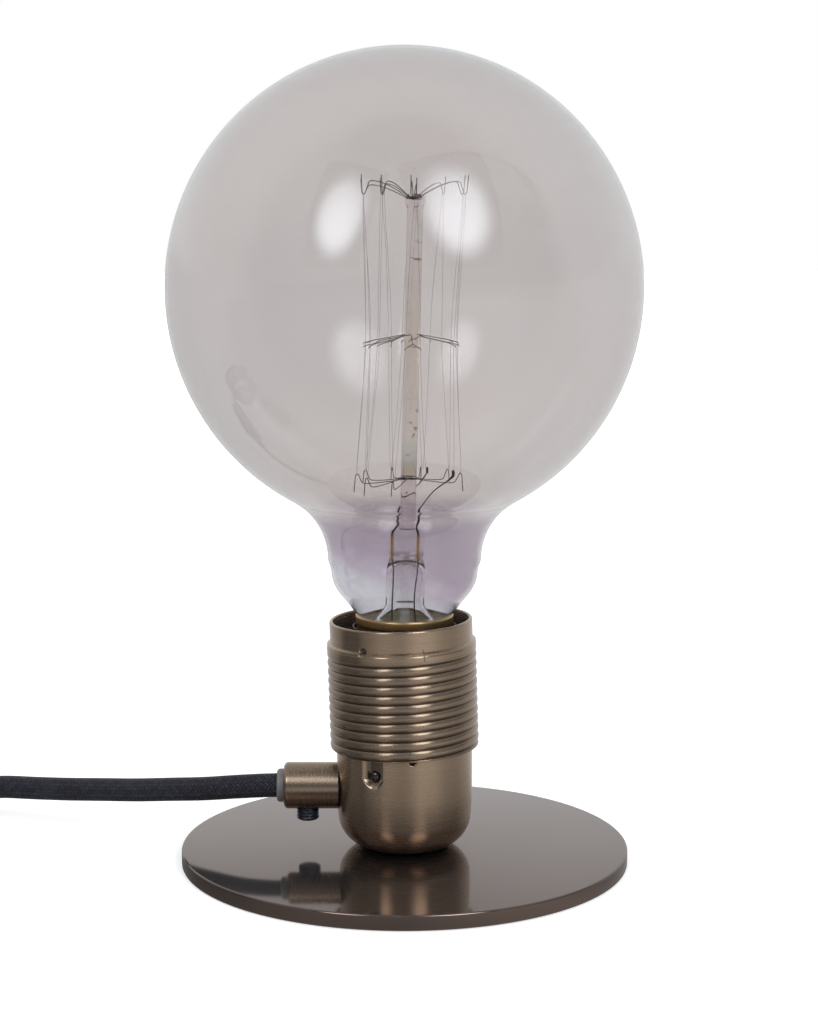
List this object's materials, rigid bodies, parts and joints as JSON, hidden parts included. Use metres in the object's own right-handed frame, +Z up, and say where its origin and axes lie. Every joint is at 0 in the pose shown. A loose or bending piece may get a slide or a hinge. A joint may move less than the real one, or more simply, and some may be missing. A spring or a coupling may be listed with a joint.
{
  "type": "table lamp",
  "caption": "Bare bulb table lamp: round metal base, threaded metal lampholder, clear globe filament bulb that unscrews, and a braided cord with a rocker switch and an earthed plug.",
  "frame": {"origin": "on the standing surface, under the middle of the round base", "axes": "+Z up along the bulb's axis; the cord leaves the lampholder along -X; -Y is the side the picture shows"},
  "size_m": [0.3584, 0.1303, 0.2175],
  "materials": {
    "dark_bronze_polished": "polished dark bronze plating, mirror-like",
    "antique_bronze": "brushed antique bronze",
    "pad_felt": "matt",
    "zinc_steel": "zinc plated",
    "black_steel": "blackened",
    "tinned_brass": "tin plated",
    "porcelain": "glazed",
    "contact_brass": "satin",
    "core_brown": "smooth insulation",
    "core_blue": "smooth insulation",
    "core_green": "smooth insulation, green and yellow",
    "bush_nylon": "translucent nylon",
    "black_nylon": "moulded nylon",
    "bulb_glass": "clear, lightly smoked",
    "stem_glass": "clear",
    "black_glass": "black vitreous",
    "cap_brass": "rolled sheet, satin",
    "cement": "matt",
    "solder": "dull solder",
    "wire_dark": "drawn wire",
    "lead_wire": "drawn wire",
    "filament_wire": "carbon filament, matt",
    "braided_cord": "woven textile sleeve",
    "tie_fabric": "woven tape",
    "black_plastic": "fine moulded texture",
    "rocker_plastic": "glossy",
    "plug_rubber": "fine moulded texture",
    "nickel_plate": "nickel plated"
  },
  "bodies": {
    "lamp": {"base_disc": "dark_bronze_polished", "base_pad": "pad_felt", "base_screw": "zinc_steel", "base_washer": "zinc_steel", "base_nut": "zinc_steel", "earth_ring_terminal": "tinned_brass", "lampholder_cup": "antique_bronze", "lampholder_shell": "antique_bronze", "shell_lock_screw": "black_steel", "ceramic_insert": "porcelain", "screw_sleeve": "contact_brass", "centre_contact": "contact_brass", "contact_rivets": "contact_brass", "terminal_blocks": "contact_brass", "terminal_screws": "zinc_steel", "live_wire": "core_brown", "neutral_wire": "core_blue", "earth_wire": "core_green", "cord_outlet_tube": "antique_bronze", "cord_outlet_nut": "zinc_steel", "cord_outlet_bush": "bush_nylon", "cord_grip_screw": "black_nylon", "cord_lamp_lead": "braided_cord", "switch_base": "black_plastic", "switch_cover": "black_plastic", "switch_contacts": "contact_brass", "switch_screws": "zinc_steel", "cord_link": "braided_cord", "cord_coil": "braided_cord", "cord_tie": "tie_fabric", "cord_tail": "braided_cord", "plug_strain_relief": "plug_rubber", "plug_body": "plug_rubber", "plug_pins": "nickel_plate", "plug_earth_clips": "nickel_plate"},
    "bulb_tip": {"bulb_contact": "solder"},
    "bulb": {"bulb_glass": "bulb_glass", "bulb_screw_cap": "cap_brass", "cap_cement": "cement", "cap_insulator": "black_glass", "glass_stem": "stem_glass", "exhaust_tube": "stem_glass", "support_rod": "stem_glass", "upper_anchors": "wire_dark", "middle_anchors": "wire_dark", "lower_anchors": "wire_dark", "lead_in_wires": "lead_wire", "filament": "filament_wire"},
    "switch_rocker": {"switch_rocker": "rocker_plastic"}
  },
  "joints": [
    {"name": "bulb_lift", "type": "slide", "parent": "lamp", "child": "bulb_tip", "axis": [0, 0, 1], "range_m": [0, 0.01452]},
    {"name": "bulb_turn", "type": "hinge", "parent": "bulb_tip", "child": "bulb", "pos_m": [0, 0, 0], "axis": [0, 0, 1], "range_deg": [0, 1440]},
    {"name": "rocker_tilt", "type": "hinge", "parent": "lamp", "child": "switch_rocker", "pos_m": [-0.176, 0.038, 0.0145], "axis": [0, 1, 0], "range_deg": [-16, 0]}
  ],
  "couplings": [
    {"joint": "bulb_lift", "follows": "bulb_turn", "m_per_rad": 0.00057757}
  ]
}
